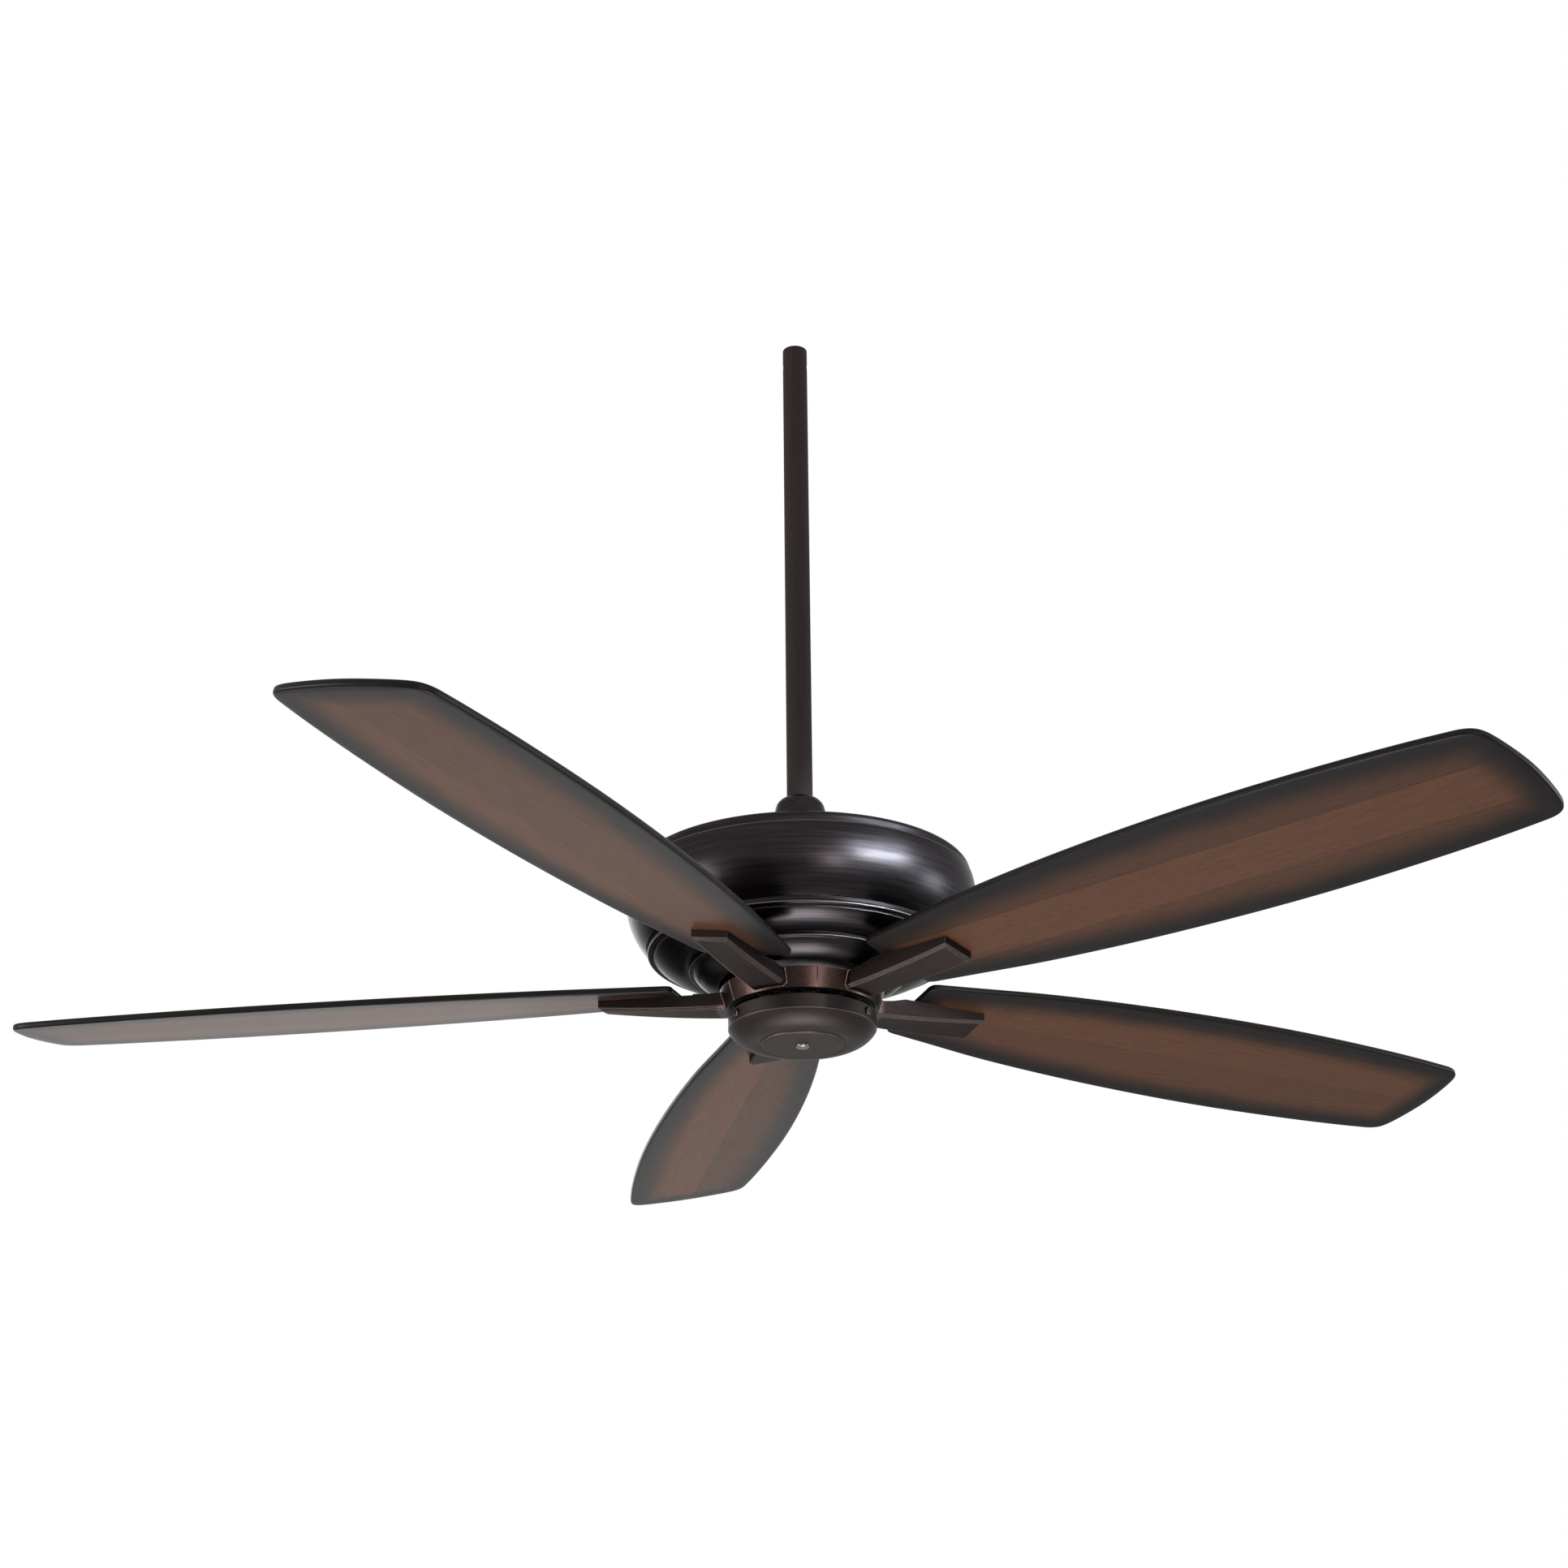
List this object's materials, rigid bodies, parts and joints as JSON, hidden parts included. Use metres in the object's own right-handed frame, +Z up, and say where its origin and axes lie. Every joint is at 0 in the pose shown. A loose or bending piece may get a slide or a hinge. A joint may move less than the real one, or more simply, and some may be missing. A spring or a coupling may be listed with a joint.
{
  "type": "ceiling fan",
  "caption": "Ceiling fan on a hanging rod: a tiered dark bronze motor housing over a turning hub, with pitched wooden blades on cast arms and a round cap underneath.",
  "frame": {"origin": "on the rod's axis, at the centre of the cross hole in the rod's top end that takes the hanger pin", "axes": "+Z up along the rod and the fan's spin axis; +X along the hanger pin's hole; the picture looks roughly along +Y from below"},
  "size_m": [1.4497, 1.4641, 0.7687],
  "materials": {
    "bronze_sheet": "satin dark bronze with fine brushing around the axis",
    "bronze_casting": "satin dark bronze with a coppery brushed sheen",
    "dark_screws": "blackened",
    "blade_wood": "satin walnut with a dark burst edge",
    "bright_steel": "plain steel",
    "zinc_plate": "zinc plated sheet",
    "cast_coupling": "black painted casting",
    "cast_aluminium": "as cast",
    "lamination_steel": "varnished laminations",
    "copper_wire": "enamelled copper",
    "wire_insulation": "soft insulation",
    "black_plastic": "moulded plastic",
    "fibre_washers": "matt fibre"
  },
  "bodies": {
    "stationary": {"downrod": "bronze_sheet", "hanger_coupling": "cast_coupling", "clevis_pin": "bright_steel", "cotter_pin": "bright_steel", "coupling_set_screws": "bright_steel", "coupling_screws": "bright_steel", "coupling_cover": "bronze_sheet", "top_cover": "bronze_sheet", "motor_housing": "bronze_sheet", "housing_screws": "dark_screws", "motor_bracket": "zinc_plate", "motor_shaft": "bright_steel", "stator_core": "lamination_steel", "stator_windings": "copper_wire", "bearing_inner_races": "bright_steel", "lead_wires": "wire_insulation", "cap_plate": "zinc_plate", "shaft_nuts": "bright_steel", "shaft_washer": "bright_steel", "run_capacitor": "black_plastic", "bottom_cap": "bronze_sheet", "cap_screws": "dark_screws", "cap_plug": "bright_steel"},
    "rotor": {"rotor_upper_shell": "cast_aluminium", "rotor_lower_shell": "cast_aluminium", "rotor_ring": "lamination_steel", "rotor_shell_screws": "bright_steel", "bearing_outer_races": "bright_steel", "bearing_balls": "bright_steel", "hub_plate": "cast_coupling", "hub_screws": "dark_screws", "arm_screws": "dark_screws", "blade_arm_1": "bronze_casting", "blade_arm_2": "bronze_casting", "blade_arm_3": "bronze_casting", "blade_arm_4": "bronze_casting", "blade_arm_5": "bronze_casting", "blade_1": "blade_wood", "blade_2": "blade_wood", "blade_3": "blade_wood", "blade_4": "blade_wood", "blade_5": "blade_wood", "blade_screws": "dark_screws", "blade_washers": "fibre_washers"}
  },
  "joints": [
    {"name": "fan_spin", "type": "hinge", "parent": "stationary", "child": "rotor", "pos_m": [0, 0, -0.628], "axis": [0, 0, 1], "continuous": true}
  ]
}
